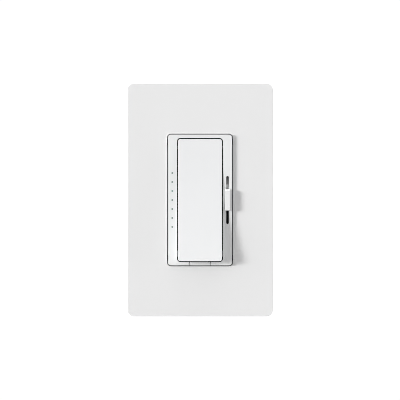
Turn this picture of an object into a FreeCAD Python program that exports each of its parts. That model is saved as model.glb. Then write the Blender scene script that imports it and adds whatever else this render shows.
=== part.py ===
"""Wall dimmer with a push paddle, a side fader and a clip-on cover plate, for a one-gang wall box.

Frame: millimetres, +Z up, the room is at -Y and the wall box at +Y.  The origin is the centre of
the two box screws, in the plane of the wall.  A "front" size is a distance from the wall into the
room, and a "deep" size is a distance from the wall into the box.
"""
import FreeCAD, Part
import Sketcher
import math
import os

from FreeCAD import Placement, Rotation, Vector

doc = FreeCAD.newDocument("dimmer")
sheet = doc.addObject("Spreadsheet::Sheet", "Dimensions")

DIMENSIONS = {
    # clip-on cover plate
    "plate_w": 74.6, "plate_tall": 119.3, "plate_front": 7.6, "plate_wall": 1.8,
    "plate_corner": 3.3, "plate_edge": 0.2, "opening_w": 33.84, "opening_tall": 68.02,
    "opening_corner": 2.2, "opening_edge": 0.08, "collar_wall": 1.2, "collar_deep": 1.2,
    "snap_long": 14.0, "snap_out": 0.7, "snap_front": 1.0, "snap_thick": 0.8,
    "snap_side_at": 34.0, "snap_end_at": 18.0,
    # adapter that the cover plate clips onto
    "adapter_w": 69.4, "adapter_tall": 113.8, "adapter_web": 1.6, "adapter_rim": 1.2,
    "adapter_back": 0.3, "adapter_corner": 2.4, "adapter_open_w": 34.6,
    "adapter_open_tall": 68.6, "tooth_out": 0.55, "tooth_front": 2.2, "tooth_thick": 0.8,
    "adapter_slot_w": 4.0, "adapter_slot_long": 16.0, "adapter_slot_at": 25.0,
    "countersink": 35.0,
    # mounting yoke, which is also the heat sink
    "yoke_thick": 1.6, "strap_w": 33.0, "strap_tall": 105.4, "sink_w": 44.4, "sink_tall": 73.0,
    "yoke_corner": 2.5, "box_spacing": 83.3, "cover_spacing": 96.8, "box_slot_long": 7.4,
    "box_slot_w": 4.2, "score_w": 0.5, "score_deep": 0.4, "score_at": 19.4,
    "ground_tab_w": 10.0, "ground_tab_long": 11.0, "ground_tab_thick": 1.4,
    "ground_tab_drop": 35.2, "ground_x": 10.0, "ground_deep": 6.4, "hook_slot_w": 1.5,
    "hook_slot_tall": 6.0, "header_w": 16.0, "header_thick": 2.5, "header_at": 14.5,
    "header_gap": 0.5, "stem_hole_gap": 0.3,
    # screws
    "thread_r": 1.75, "thread_gap": 0.05, "screw_gap": 0.15, "head_room": 0.3,
    "box_screw_long": 20.4, "box_head_r": 3.2, "box_head_thick": 1.5, "neck_r": 1.5,
    "cover_screw_long": 6.5, "cover_head_r": 2.7, "cover_head_thick": 1.3,
    "drive_slot_w": 0.9, "drive_slot_deep": 0.8, "cross_w": 0.6, "cross_long": 3.0,
    "case_screw_r": 1.25, "case_screw_head_r": 2.3, "case_screw_head_thick": 1.4,
    "case_screw_sunk": 0.25, "ground_head_r": 3.7, "ground_head_thick": 2.2,
    "ground_shank_long": 1.9,
    # front bezel
    "bezel_w": 32.9, "bezel_tall": 67.0, "bezel_front": 8.8, "bezel_face": 1.5,
    "bezel_wall": 1.2, "bezel_corner": 1.6, "bezel_edge": 0.08, "window_w": 23.57,
    "window_tall": 63.56, "window_corner": 1.8, "window_edge": 0.06, "dot_count": 7,
    "dot_pitch": 4.61, "dot_x": 14.18, "dot_r": 0.47, "dot_gap": 0.02, "fader_x": 14.1,
    "fader_slot_w": 1.3, "fader_slot_long": 24.6, "tab_w": 10.5, "tab_gap": 0.2,
    "hook_w": 5.0, "hook_thick": 1.1, "hook_at": 20.0, "hook_deep": 1.2, "hook_gap": 0.05,
    "barb_out": 0.7, "lug_thick": 1.8, "lug_tall": 4.0, "lug_front": 3.6, "lug_gap": 0.7,
    # paddle and its hinge
    "paddle_gap": 0.52, "paddle_corner": 1.3, "paddle_edge": 0.12, "paddle_wall": 1.4,
    "paddle_face_wall": 1.8,
    "paddle_top_front": 8.65, "paddle_foot_front": 13.2, "paddle_face_r": 550.0,
    "paddle_skirt_top": 3.4, "paddle_skirt_foot": 8.0, "paddle_rim_deep": 0.9,
    "hinge_at": 27.0, "hinge_front": 5.0, "hinge_pin_r": 0.75, "hinge_gap": 0.05,
    "hinge_fit": 0.01, "hinge_pin_long": 27.2, "hinge_end_gap": 0.2,
    "stop_at": 27.5, "stop_tall": 3.0, "stop_out": 0.9, "stop_thick": 1.0, "stop_gap": 0.2,
    "stop_arm_w": 1.4, "stop_arm_long": 3.0, "tact_post_w": 2.4, "tact_post_long": 2.0,
    "tact_post_gap": 0.08, "spring_at": 22.0, "spring_r": 2.2, "spring_wire_r": 0.35,
    "spring_pitch": 1.9, "spring_back": 3.8, "spring_front": 10.1, "seat_r": 1.5,
    "seat_back": 8.45, "seat_long": 3.0,
    # control board and what it carries
    "board_w": 30.0, "board_top": 22.5, "board_foot": 26.0, "board_thick": 1.0,
    "board_front": 3.4, "led_long": 1.6, "led_w": 0.8, "led_thick": 0.6, "pipe_front": 7.2,
    "pipe_thick": 1.4, "pipe_w": 1.7, "pipe_x": 14.08, "pipe_over": 1.4, "pipe_foot_r": 0.6,
    "pipe_led_gap": 0.15, "pipe_recess": 0.06, "tact_at": 7.0, "tact_w": 6.0,
    "tact_thick": 2.5, "tact_plunger_r": 1.7, "tact_front": 7.0, "tact_long": 2.0,
    "tact_gap": 0.08, "tact_well": 1.6, "chip_x": 4.5, "chip_z": -2.0, "chip_w": 7.0,
    "chip_tall": 7.0, "chip_thick": 0.9, "radio_x": -5.0, "radio_z": 14.5, "radio_w": 9.0,
    "radio_tall": 8.0, "radio_thick": 1.6, "header_fit": 0.02,
    # fader
    "track_x": 13.6, "track_w": 2.7, "track_long": 34.0, "track_thick": 0.2,
    "carriage_x": 13.8, "carriage_w": 2.5, "carriage_long": 10.0, "carriage_front": 6.95,
    "carriage_back": 4.2, "stem_w": 1.0, "stem_long": 4.0, "stem_back": 5.2, "stem_gap": 0.05,
    "knob_w": 2.7, "knob_long": 11.2, "knob_back": 8.95, "knob_front": 10.45,
    "knob_top_slope": 0.8, "knob_foot_slope": 0.4, "knob_foot_corner": 0.55,
    "knob_edge": 0.15, "wiper_x": 13.7, "wiper_thick": 0.2,
    "wiper_w": 1.8, "wiper_long": 6.0, "wiper_dot_r": 0.35, "wiper_dot_at": 2.2,
    "wiper_gap": 0.02, "shutter_w": 2.0, "shutter_foot": 2.15, "shutter_top": 14.4,
    "shutter_back": 6.97, "shutter_thick": 0.25,
    # service switch: a pull tab that opens an air gap in the supply
    "tab_back": 1.75, "step_w": 8.0, "step_thick": 1.2, "pull_w": 6.0, "pull_tall": 1.3,
    "pull_at": 31.0, "pull_deep": 6.0, "catch_w": 1.1, "catch_long": 1.8,
    "blade_thick": 0.3, "blade_deep": 4.4, "blade_tall": 3.4, "blade_end": 1.5,
    "pivot_x": 12.0, "pivot_r": 0.7, "curl_r": 1.1, "curl_gap": 0.05, "post_over": 0.2,
    "post_arm_w": 1.6, "post_arm_thick": 1.0, "post_foot_w": 3.0, "post_foot_tall": 3.2,
    "post_foot_thick": 0.6, "contact_x": 7.0, "contact_r": 1.1, "contact_thick": 0.45,
    "contact_gap": 0.03, "bridge_w": 2.8, "bridge_thick": 0.5, "bridge_drop": 1.2,
    "bridge_reach": 4.6, "bridge_foot": 1.0,
    # back housing
    "case_w": 43.6, "case_tall": 69.4, "case_deep": 30.0, "case_front": 0.02, "case_wall": 1.8,
    "case_corner": 2.5, "case_edge": 1.2, "boss_r": 3.1, "boss_x": 17.0, "boss_z": 29.9,
    "panel_w": 26.0, "panel_tall": 46.0, "panel_corner": 1.0, "panel_deep": 0.4,
    "recess_tall": 11.0, "recess_w": 9.6, "recess_inset": 5.0, "recess_deep": 10.8,
    "recess_floor": 1.5,
    # wiring terminals
    "terminal_at": 11.5, "terminal_thick": 1.2, "terminal_gap": 0.2, "wire_gap": 0.25,
    "terminal_thread_r": 2.05, "terminal_head_r": 3.8, "terminal_head_thick": 2.2,
    "terminal_shank": 4.4, "shank_room": 0.3, "tail_thick": 1.2, "tail_tall": 2.0,
    "tail_at": 4.4, "tail_x": 11.0, "tail_room": 0.2,
    # power board and what it carries
    "power_w": 28.0, "power_tall": 56.0, "power_thick": 1.6, "power_deep": 7.0,
    "film_gap": 0.02, "insulator_thick": 0.3, "insulator_w": 29.0, "insulator_tall": 36.0,
    "insulator_z": 6.0, "fet_w": 10.0, "fet_tall": 15.0, "fet_thick": 4.4, "fet_x": 8.0,
    "fet_z": 8.0, "leg_w": 0.7, "leg_pitch": 2.54, "leg_long": 3.0,
    "choke_r": 6.0, "choke_tube_r": 2.9, "choke_z": -15.5, "choke_stand": 0.2, "wire_r": 0.5,
    "wire_clear": 0.05, "choke_turns": 16,
    "box_cap_w": 18.0, "box_cap_tall": 8.0, "box_cap_deep": 15.0, "box_cap_z": 0.5,
    "can_r": 5.0, "can_long": 16.0, "can_x": -6.0, "can_z": 15.5,
    "disc_r": 5.0, "disc_thick": 3.6, "disc_x": 7.5, "disc_z": 12.0, "disc_stand": 0.6,
    "link_r": 2.6, "link_long": 12.0, "link_x": 6.0, "link_z": 23.0, "link_stand": 0.3,
}

SINK = 0.1         # how far a feature reaches into the one that it joins
CRISP = 0.1        # corner radius of a small moulded feature
PAST = 1.0         # how far a cutting tool runs past the face that it cuts
NEAR = 1e-4        # two coordinates closer than this are the same
MOSTLY = 0.9       # an edge runs along an axis if its direction's share there is above this
SIDES = (-1, 1)


class Size:
    """A number that remembers the formula of spreadsheet cells that it came from."""

    def __init__(self, text, value):
        self.text = text
        self.value = value

    def _join(self, sign, other, value):
        return Size(f"({self.text} {sign} {text(other)})", value)

    def __add__(self, other):
        return self._join("+", other, self.value + number(other))

    def __sub__(self, other):
        return self._join("-", other, self.value - number(other))

    def __mul__(self, other):
        return self._join("*", other, self.value * number(other))

    def __truediv__(self, other):
        return self._join("/", other, self.value / number(other))

    def __neg__(self):
        return Size(f"(-1 * {self.text})", -self.value)

    def __radd__(self, other):
        return Size(f"({other} + {self.text})", other + self.value)

    def __rsub__(self, other):
        return Size(f"({other} - {self.text})", other - self.value)

    def __rmul__(self, other):
        return Size(f"({other} * {self.text})", other * self.value)


class Dimensions:
    """The spreadsheet's cells as attributes: d.plate_w is the cell with that alias."""

    def __getattr__(self, alias):
        return Size(f"Dimensions.{alias}", DIMENSIONS[alias])


d = Dimensions()


def text(value):
    """The formula of a size, or a plain number as text."""
    return value.text if isinstance(value, Size) else repr(float(value))


def number(value):
    """The value of a size, or a plain number as it is."""
    return value.value if isinstance(value, Size) else float(value)


def fill_sheet():
    for row, (alias, value) in enumerate(DIMENSIONS.items(), start=1):
        sheet.set(f"A{row}", alias.replace("_", " "))
        sheet.set(f"B{row}", str(value))
        sheet.setAlias(f"B{row}", alias)
    doc.recompute()


def bind(thing, path, value):
    """Ties a property to its formula."""
    thing.setExpression(path, text(value))


# ---------------------------------------------------------------- Part Design helpers

FRONT, SIDE, TOP = "XZ_Plane", "YZ_Plane", "XY_Plane"


def new_body(label):
    body = doc.addObject("PartDesign::Body", label)
    body.Label = label
    return body


def new_sketch(body, plane, offset=0.0):
    """A sketch on one of the body's origin planes, moved along the plane's normal.

    The FRONT plane's normal points into the room, so its offset is a front distance.
    """
    sketch = body.newObject("Sketcher::SketchObject", "Sketch")
    support = [f for f in body.Origin.OriginFeatures if f.Role == plane][0]
    sketch.AttachmentSupport = [(support, "")]
    sketch.MapMode = "FlatFace"
    bind(sketch, "AttachmentOffset.Base.z", offset)
    return sketch


def fix(sketch, kind, refs, value):
    """Adds a constraint whose size is tied to its formula."""
    index = sketch.addConstraint(Sketcher.Constraint(kind, *refs, number(value)))
    if isinstance(value, Size):
        sketch.setExpression(f"Constraints[{index}]", value.text)


def rounded_rect(sketch, x, z, width, tall, radius):
    """A rectangle centred on (x, z) with rounded corners."""
    cx, cz, w, t, r = (number(v) for v in (x, z, width, tall, radius))
    left, right, low, high = cx - w / 2, cx + w / 2, cz - t / 2, cz + t / 2
    corners = [(right - r, low + r), (right - r, high - r), (left + r, high - r), (left + r, low + r)]
    ends = [((left + r, low), (right - r, low)), ((right, low + r), (right, high - r)),
            ((right - r, high), (left + r, high)), ((left, high - r), (left, low + r))]
    first = sketch.GeometryCount
    for k in range(4):
        a, b = ends[k]
        sketch.addGeometry(Part.LineSegment(Vector(*a, 0), Vector(*b, 0)), False)
        turn = Part.Circle(Vector(*corners[k], 0), Vector(0, 0, 1), r)
        start = -math.pi / 2 + k * math.pi / 2
        sketch.addGeometry(Part.ArcOfCircle(turn, start, start + math.pi / 2), False)
    for k in range(8):
        sketch.addConstraint(Sketcher.Constraint("Tangent", first + k, 2, first + (k + 1) % 8, 1))
    for k, kind in ((0, "Horizontal"), (2, "Vertical"), (4, "Horizontal"), (6, "Vertical")):
        sketch.addConstraint(Sketcher.Constraint(kind, first + k))
    for k in (1, 3, 5):
        sketch.addConstraint(Sketcher.Constraint("Equal", first + k, first + k + 2))
    fix(sketch, "Radius", (first + 1,), radius)
    fix(sketch, "DistanceX", (first + 6, 1, first + 2, 1), width)
    fix(sketch, "DistanceY", (first, 1, first + 4, 1), tall)
    fix(sketch, "DistanceX", (-1, 1, first + 6, 1), x - width / 2)
    fix(sketch, "DistanceY", (-1, 1, first, 1), z - tall / 2)


def slot(sketch, x, z, long, width, upright):
    """A straight slot with round ends, centred on (x, z)."""
    cx, cz, half, r = number(x), number(z), number(long) / 2 - number(width) / 2, number(width) / 2
    step = Vector(0, half, 0) if upright else Vector(half, 0, 0)
    across = Vector(r, 0, 0) if upright else Vector(0, -r, 0)
    centre = Vector(cx, cz, 0)
    start = 0.0 if upright else -math.pi / 2
    first = sketch.GeometryCount
    sketch.addGeometry(Part.LineSegment(centre - step + across, centre + step + across), False)
    turn = Part.Circle(centre + step, Vector(0, 0, 1), r)
    sketch.addGeometry(Part.ArcOfCircle(turn, start, start + math.pi), False)
    sketch.addGeometry(Part.LineSegment(centre + step - across, centre - step - across), False)
    turn = Part.Circle(centre - step, Vector(0, 0, 1), r)
    sketch.addGeometry(Part.ArcOfCircle(turn, start + math.pi, start + 2 * math.pi), False)
    for k in range(4):
        sketch.addConstraint(Sketcher.Constraint("Tangent", first + k, 2, first + (k + 1) % 4, 1))
    sketch.addConstraint(Sketcher.Constraint("Vertical" if upright else "Horizontal", first))
    fix(sketch, "Radius", (first + 1,), width / 2)
    along, other = ("DistanceY", "DistanceX") if upright else ("DistanceX", "DistanceY")
    middle, side = (z, x) if upright else (x, z)
    fix(sketch, along, (first + 3, 3, first + 1, 3), long - width)
    fix(sketch, along, (-1, 1, first + 3, 3), middle - (long - width) / 2)
    fix(sketch, other, (-1, 1, first + 3, 3), side)


def circle(sketch, x, z, radius):
    at = sketch.addGeometry(
        Part.Circle(Vector(number(x), number(z), 0), Vector(0, 0, 1), number(radius)), False)
    fix(sketch, "Radius", (at,), radius)
    fix(sketch, "DistanceX", (-1, 1, at, 3), x)
    fix(sketch, "DistanceY", (-1, 1, at, 3), z)


def polygon(sketch, points, arc_radius=None):
    """A closed outline through points.  With arc_radius, its first side is an arc that bulges right."""
    flat = [Vector(number(x), number(z), 0) for x, z in points]
    first, n = sketch.GeometryCount, len(points)
    for k in range(n):
        a, b = flat[k], flat[(k + 1) % n]
        if k == 0 and arc_radius is not None:
            sketch.addGeometry(arc_between(a, b, number(arc_radius)), False)
        else:
            sketch.addGeometry(Part.LineSegment(a, b), False)
    for k in range(n):
        sketch.addConstraint(Sketcher.Constraint("Coincident", first + k, 2, first + (k + 1) % n, 1))
    if arc_radius is not None:
        fix(sketch, "Radius", (first,), arc_radius)
    for k, (x, z) in enumerate(points):
        fix(sketch, "DistanceX", (-1, 1, first + k, 1), x)
        fix(sketch, "DistanceY", (-1, 1, first + k, 1), z)


def rectangle(sketch, x, z, width, tall):
    """A sharp-cornered rectangle centred on (x, z)."""
    polygon(sketch, [(x - width / 2, z - tall / 2), (x + width / 2, z - tall / 2),
                     (x + width / 2, z + tall / 2), (x - width / 2, z + tall / 2)])


def arc_between(a, b, radius):
    """The flat arc from a to b, anticlockwise about a centre on its left."""
    half = (b - a).Length / 2
    along = (b - a).normalize()
    left = Vector(-along.y, along.x, 0)
    centre = (a + b) * 0.5 + left * math.sqrt(radius ** 2 - half ** 2)
    start = math.atan2(a.y - centre.y, a.x - centre.x)
    end = math.atan2(b.y - centre.y, b.x - centre.x)
    return Part.ArcOfCircle(Part.Circle(centre, Vector(0, 0, 1), radius), start, end)


def pad(body, sketch, length, midplane=False, backwards=False):
    feature = body.newObject("PartDesign::Pad", "Pad")
    feature.Profile = sketch
    bind(feature, "Length", length)
    feature.SideType = "Symmetric" if midplane else "One side"
    feature.Reversed = backwards
    sketch.Visibility = False
    doc.recompute()
    return feature


def pocket(body, sketch, length=None, midplane=False, backwards=False):
    """A pocket that cuts against the sketch's normal, through everything where length is None."""
    before = body.Shape.Volume
    feature = body.newObject("PartDesign::Pocket", "Pocket")
    feature.Profile = sketch
    if length is None:
        feature.Type = 1
    else:
        bind(feature, "Length", length)
    feature.SideType = "Symmetric" if midplane else "One side"
    feature.Reversed = backwards
    doc.recompute()
    if body.Shape.Volume > before - NEAR:
        raise RuntimeError(f"a pocket cut nothing from {body.Label}")
    return feature


def edges_where(feature, test):
    """The names of a feature's edges whose middle point and direction there pass a test."""
    found = []
    for k, edge in enumerate(feature.Shape.Edges, start=1):
        middle = (edge.FirstParameter + edge.LastParameter) / 2
        if test(edge.valueAt(middle), edge.tangentAt(middle)):
            found.append(f"Edge{k}")
    if not found:
        raise RuntimeError(f"no edge of {feature.Label} passes the test")
    return found


def soften(body, test, radius):
    """Rounds the edges of the body's last feature that pass a test."""
    base = body.Tip
    feature = body.newObject("PartDesign::Fillet", "Fillet")
    feature.Base = (base, edges_where(base, test))
    bind(feature, "Radius", radius)
    doc.recompute()


def at_front(front, width=None, tall=None):
    """Tests for an edge at one front distance, and within an opening if its size is given."""
    def test(point, along):
        if abs(point.y + number(front)) > NEAR or abs(along.y) > NEAR:
            return False
        if width is None:
            return True
        return (abs(point.x) < number(width) / 2 + NEAR
                and abs(point.z) < number(tall) / 2 + NEAR)
    return test


# ---------------------------------------------------------------- Part helpers

def place(thing, x, y, z, rotation=None):
    if rotation is not None:
        thing.Placement = Placement(Vector(0, 0, 0), rotation)
    bind(thing, "Placement.Base.x", x)
    bind(thing, "Placement.Base.y", y)
    bind(thing, "Placement.Base.z", z)


ALONG = {"X": Rotation(Vector(0, 1, 0), 90), "Y": Rotation(Vector(1, 0, 0), -90), "Z": Rotation()}


def box(x, y, z, name="Box"):
    """A box from three (low, high) pairs."""
    thing = doc.addObject("Part::Box", name)
    for prop, (low, high) in (("Length", x), ("Width", y), ("Height", z)):
        bind(thing, prop, high - low)
    place(thing, x[0], y[0], z[0])
    return thing


def rod(along, at, long, radius, name="Rod"):
    """A cylinder that starts at a point and runs along +X, +Y or +Z."""
    thing = doc.addObject("Part::Cylinder", name)
    bind(thing, "Radius", radius)
    bind(thing, "Height", long)
    place(thing, *at, ALONG[along])
    return thing


def taper(along, at, long, radius_start, radius_end):
    """A cone that starts at a point and runs along +X, +Y or +Z."""
    thing = doc.addObject("Part::Cone", "Taper")
    bind(thing, "Radius1", radius_start)
    bind(thing, "Radius2", radius_end)
    bind(thing, "Height", long)
    place(thing, *at, ALONG[along])
    return thing


def fuse(parts, label="Fuse"):
    thing = doc.addObject("Part::MultiFuse", label)
    thing.Shapes = parts
    thing.Refine = True
    thing.Label = label
    return thing


def cut(base, tools, label="Cut"):
    """The base less one tool, or less several that are joined first."""
    thing = doc.addObject("Part::Cut", label)
    thing.Base = base
    thing.Tool = tools[0] if len(tools) == 1 else fuse(tools)
    thing.Refine = True
    thing.Label = label
    return thing


def group(parts, label):
    """Separate solids that share one node."""
    thing = doc.addObject("Part::Compound", label)
    thing.Links = parts
    thing.Label = label
    return thing


def solid(shape, label):
    """A piece whose shape no feature or primitive makes."""
    thing = doc.addObject("Part::Feature", label)
    thing.Shape = shape
    thing.Label = label
    return thing


def named(thing, label):
    thing.Label = label
    return thing


# ---------------------------------------------------------------- cover plate and adapter

def cover_plate():
    body = new_body("cover_plate")
    outer = new_sketch(body, FRONT)
    rounded_rect(outer, 0, 0, d.plate_w, d.plate_tall, d.plate_corner)
    pad(body, outer, d.plate_front)
    soften(body, at_front(d.plate_front), d.plate_edge)
    hollow = new_sketch(body, FRONT)
    rounded_rect(hollow, 0, 0, d.plate_w - 2 * d.plate_wall, d.plate_tall - 2 * d.plate_wall,
                 d.plate_corner - d.plate_wall)
    pocket(body, hollow, d.plate_front - d.plate_wall, backwards=True)
    collar = new_sketch(body, FRONT, d.plate_front - d.plate_wall)
    rounded_rect(collar, 0, 0, d.opening_w + 2 * d.collar_wall, d.opening_tall + 2 * d.collar_wall,
                 d.opening_corner + d.collar_wall)
    pad(body, collar, d.collar_deep, backwards=True)
    opening = new_sketch(body, FRONT, d.plate_front)
    rounded_rect(opening, 0, 0, d.opening_w, d.opening_tall, d.opening_corner)
    pocket(body, opening)
    soften(body, at_front(d.plate_front, d.opening_w, d.opening_tall), d.opening_edge)
    snaps(body, d.plate_w / 2 - d.plate_wall - d.snap_out / 2 + SINK,
          d.plate_tall / 2 - d.plate_wall - d.snap_out / 2 + SINK,
          d.snap_out + 2 * SINK, d.snap_front, d.snap_thick)
    return body


def snaps(body, x, z, wide, front, thick):
    """Eight ribs along a rim, two on each of its sides, at x and z from the middle."""
    for sign in SIDES:
        for side in SIDES:
            upright = new_sketch(body, FRONT, front)
            rounded_rect(upright, side * x, sign * d.snap_side_at, wide, d.snap_long, CRISP)
            pad(body, upright, thick)
            level = new_sketch(body, FRONT, front)
            rounded_rect(level, side * d.snap_end_at, sign * z, d.snap_long, wide, CRISP)
            pad(body, level, thick)


def cover_adapter():
    """The frame that is screwed to the yoke.  Its teeth catch the ribs inside the cover plate."""
    body = new_body("cover_adapter")
    web_front = d.yoke_thick + d.adapter_web
    outer = new_sketch(body, FRONT, d.adapter_back)
    rounded_rect(outer, 0, 0, d.adapter_w, d.adapter_tall, d.adapter_corner)
    pad(body, outer, web_front - d.adapter_back)
    hollow = new_sketch(body, FRONT, d.adapter_back)
    rounded_rect(hollow, 0, 0, d.adapter_w - 2 * d.adapter_rim, d.adapter_tall - 2 * d.adapter_rim,
                 d.adapter_corner - d.adapter_rim)
    pocket(body, hollow, d.yoke_thick - d.adapter_back, backwards=True)
    opening = new_sketch(body, FRONT, web_front)
    rounded_rect(opening, 0, 0, d.adapter_open_w, d.adapter_open_tall, d.opening_corner)
    pocket(body, opening)
    for sign in SIDES:
        holes = new_sketch(body, FRONT, web_front)
        circle(holes, 0, sign * d.box_spacing / 2, d.box_head_r + d.head_room)
        circle(holes, 0, sign * d.cover_spacing / 2, d.thread_r + d.screw_gap)
        for side in SIDES:
            slot(holes, side * d.adapter_slot_at, sign * d.adapter_slot_at,
                 d.adapter_slot_long, d.adapter_slot_w, True)
        pocket(body, holes)
        sink = new_sketch(body, FRONT, web_front)
        circle(sink, 0, sign * d.cover_spacing / 2, d.cover_head_r)
        cone = pocket(body, sink, d.cover_head_thick)
        bind(cone, "TaperAngle", -d.countersink)
        doc.recompute()
    snaps(body, d.adapter_w / 2 + d.tooth_out / 2 - SINK,
          d.adapter_tall / 2 + d.tooth_out / 2 - SINK,
          d.tooth_out + 2 * SINK, d.tooth_front, d.tooth_thick)
    return body


# ---------------------------------------------------------------- yoke

def mounting_yoke():
    body = new_body("mounting_yoke")
    for width, tall in ((d.strap_w, d.strap_tall), (d.sink_w, d.sink_tall)):
        plate = new_sketch(body, FRONT)
        rounded_rect(plate, 0, 0, width, tall, d.yoke_corner)
        pad(body, plate, d.yoke_thick)
    tab = new_sketch(body, FRONT)
    rounded_rect(tab, -d.ground_x, -(d.ground_tab_drop + d.ground_tab_thick / 2),
                 d.ground_tab_w, d.ground_tab_thick, CRISP)
    pad(body, tab, d.ground_tab_long, backwards=True)
    holes = new_sketch(body, FRONT, d.yoke_thick)
    for sign in SIDES:
        slot(holes, 0, sign * d.box_spacing / 2, d.box_slot_long, d.box_slot_w, False)
        circle(holes, 0, sign * d.cover_spacing / 2, d.thread_r + d.thread_gap)
        for side in SIDES:
            circle(holes, side * d.boss_x, sign * d.boss_z, d.case_screw_r + d.thread_gap)
            rounded_rect(holes, side * (d.bezel_w / 2 - d.hook_thick / 2), sign * d.hook_at,
                         d.hook_slot_w, d.hook_slot_tall, CRISP)
    rounded_rect(holes, 0, -d.pull_at, d.pull_w + 2 * d.stem_hole_gap,
                 d.pull_tall + 2 * d.stem_hole_gap, CRISP)
    rounded_rect(holes, 0, -d.header_at, d.header_w + 2 * d.header_gap,
                 d.header_thick + 2 * d.header_gap, CRISP)
    pocket(body, holes, d.yoke_thick)
    # scored lines, where the sides snap off for a row of devices in one box
    scores = new_sketch(body, FRONT)
    for side in SIDES:
        rectangle(scores, side * d.score_at, 0, d.score_w, d.sink_tall + 2 * PAST)
    pocket(body, scores, d.score_deep, backwards=True)
    thread = new_sketch(body, TOP, PAST - d.ground_tab_drop)
    circle(thread, -d.ground_x, d.ground_deep, d.thread_r + d.thread_gap)
    pocket(body, thread, d.ground_tab_thick + 2 * PAST)
    return body


# ---------------------------------------------------------------- bezel

def front_bezel():
    body = new_body("front_bezel")
    face_back = d.bezel_front - d.bezel_face
    outer = new_sketch(body, FRONT, d.yoke_thick)
    rounded_rect(outer, 0, 0, d.bezel_w, d.bezel_tall, d.bezel_corner)
    pad(body, outer, d.bezel_front - d.yoke_thick)
    soften(body, at_front(d.bezel_front), d.bezel_edge)
    hollow = new_sketch(body, FRONT, d.yoke_thick)
    rounded_rect(hollow, 0, 0, d.bezel_w - 2 * d.bezel_wall, d.bezel_tall - 2 * d.bezel_wall,
                 d.bezel_corner - d.bezel_wall)
    pocket(body, hollow, face_back - d.yoke_thick, backwards=True)
    window = new_sketch(body, FRONT, d.bezel_front)
    rounded_rect(window, 0, 0, d.window_w, d.window_tall, d.window_corner)
    pocket(body, window, d.bezel_face)
    soften(body, at_front(d.bezel_front, d.window_w, d.window_tall), d.window_edge)
    fader = new_sketch(body, FRONT, d.bezel_front)
    slot(fader, d.fader_x, 0, d.fader_slot_long, d.fader_slot_w, True)
    pocket(body, fader, d.bezel_face)
    dot_row(body)
    notch = new_sketch(body, FRONT, d.bezel_front)
    rounded_rect(notch, 0, -d.bezel_tall / 2, d.tab_w + 2 * d.tab_gap,
                 d.bezel_tall - d.window_tall + 2 * SINK, CRISP)
    pocket(body, notch, d.bezel_front - d.yoke_thick)
    # lugs that hold the hinge pin
    for side in SIDES:
        lug = new_sketch(body, FRONT, d.lug_front)
        rounded_rect(lug, side * (d.window_w / 2 + d.lug_gap + d.lug_thick / 2), d.hinge_at,
                     d.lug_thick, d.lug_tall, CRISP)
        pad(body, lug, face_back - d.lug_front + SINK)
    pin = new_sketch(body, SIDE)
    circle(pin, -d.hinge_front, d.hinge_at, d.hinge_pin_r + d.hinge_fit)
    pocket(body, pin, d.hinge_pin_long + 2 * d.hinge_end_gap, midplane=True)
    clip_hooks(body)
    return body


def dot_row(body):
    """A hole for each light, in a row up the left side."""
    top_dot = new_sketch(body, FRONT, d.bezel_front)
    circle(top_dot, -d.dot_x, (d.dot_count - 1) * d.dot_pitch / 2, d.dot_r + d.dot_gap)
    hole = pocket(body, top_dot, d.bezel_face)
    row = body.newObject("PartDesign::LinearPattern", "LinearPattern")
    row.Originals = [hole]
    row.Direction = (top_dot, ["V_Axis"])
    row.Reversed = True
    row.Occurrences = DIMENSIONS["dot_count"]
    bind(row, "Length", (d.dot_count - 1) * d.dot_pitch)
    body.Tip = row
    doc.recompute()


def clip_hooks(body):
    """Four barbed legs that clip the bezel to the yoke."""
    for sign in SIDES:
        for side in SIDES:
            leg = new_sketch(body, FRONT, -d.hook_deep)
            rounded_rect(leg, side * (d.bezel_w / 2 - d.hook_thick / 2), sign * d.hook_at,
                         d.hook_thick, d.hook_w, CRISP)
            pad(body, leg, d.hook_deep + d.yoke_thick + SINK)
            barb = new_sketch(body, FRONT, -d.hook_deep)
            rounded_rect(barb, side * (d.bezel_w / 2 + d.barb_out / 2 - SINK), sign * d.hook_at,
                         d.barb_out + 2 * SINK, d.hook_w, CRISP)
            pad(body, barb, d.hook_deep - d.hook_gap)


# ---------------------------------------------------------------- paddle

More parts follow.
